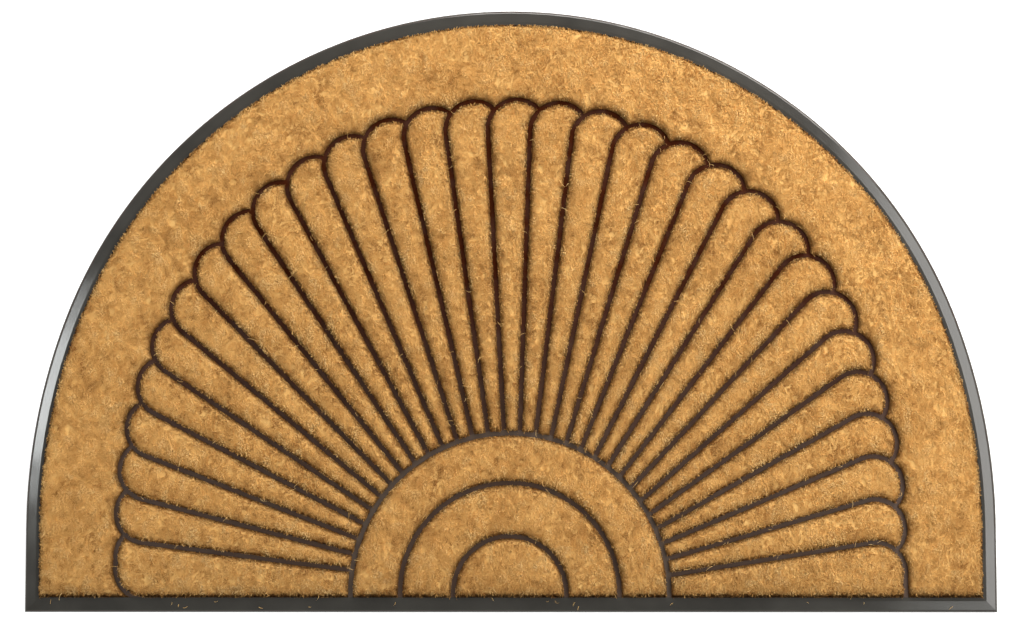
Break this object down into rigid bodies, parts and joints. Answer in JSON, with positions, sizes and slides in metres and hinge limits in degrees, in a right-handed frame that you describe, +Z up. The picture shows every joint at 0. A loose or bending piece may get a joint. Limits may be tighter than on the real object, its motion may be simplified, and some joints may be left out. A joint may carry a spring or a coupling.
{
  "type": "door mat",
  "caption": "Half-round door mat: coir pile set between the ribs of a moulded rubber tray, in a pattern of long petals around a rising sun.",
  "frame": {"origin": "on the floor plane, under the middle of the mat's length and depth", "axes": "+X along the straight edge, +Y from the straight edge towards the top of the arch, +Z up, out of the pile"},
  "size_m": [0.99, 0.618, 0.015],
  "materials": {
    "rubber": "moulded, satin, near black",
    "coir": "cut coconut-fibre pile, golden brown, matt"
  },
  "bodies": {
    "root": {"rubber_tray": "rubber", "coir_outer_field": "coir", "coir_petal_01": "coir", "coir_petal_02": "coir", "coir_petal_03": "coir", "coir_petal_04": "coir", "coir_petal_05": "coir", "coir_petal_06": "coir", "coir_petal_07": "coir", "coir_petal_08": "coir", "coir_petal_09": "coir", "coir_petal_10": "coir", "coir_petal_11": "coir", "coir_petal_12": "coir", "coir_petal_13": "coir", "coir_petal_14": "coir", "coir_petal_15": "coir", "coir_petal_16": "coir", "coir_petal_17": "coir", "coir_petal_18": "coir", "coir_petal_19": "coir", "coir_petal_20": "coir", "coir_petal_21": "coir", "coir_petal_22": "coir", "coir_petal_23": "coir", "coir_petal_24": "coir", "coir_petal_25": "coir", "coir_petal_26": "coir", "coir_petal_27": "coir", "coir_petal_28": "coir", "coir_petal_29": "coir", "coir_petal_30": "coir", "coir_petal_31": "coir", "coir_sun_outer_ring": "coir", "coir_sun_inner_ring": "coir", "coir_sun_disc": "coir"}
  },
  "joints": []
}
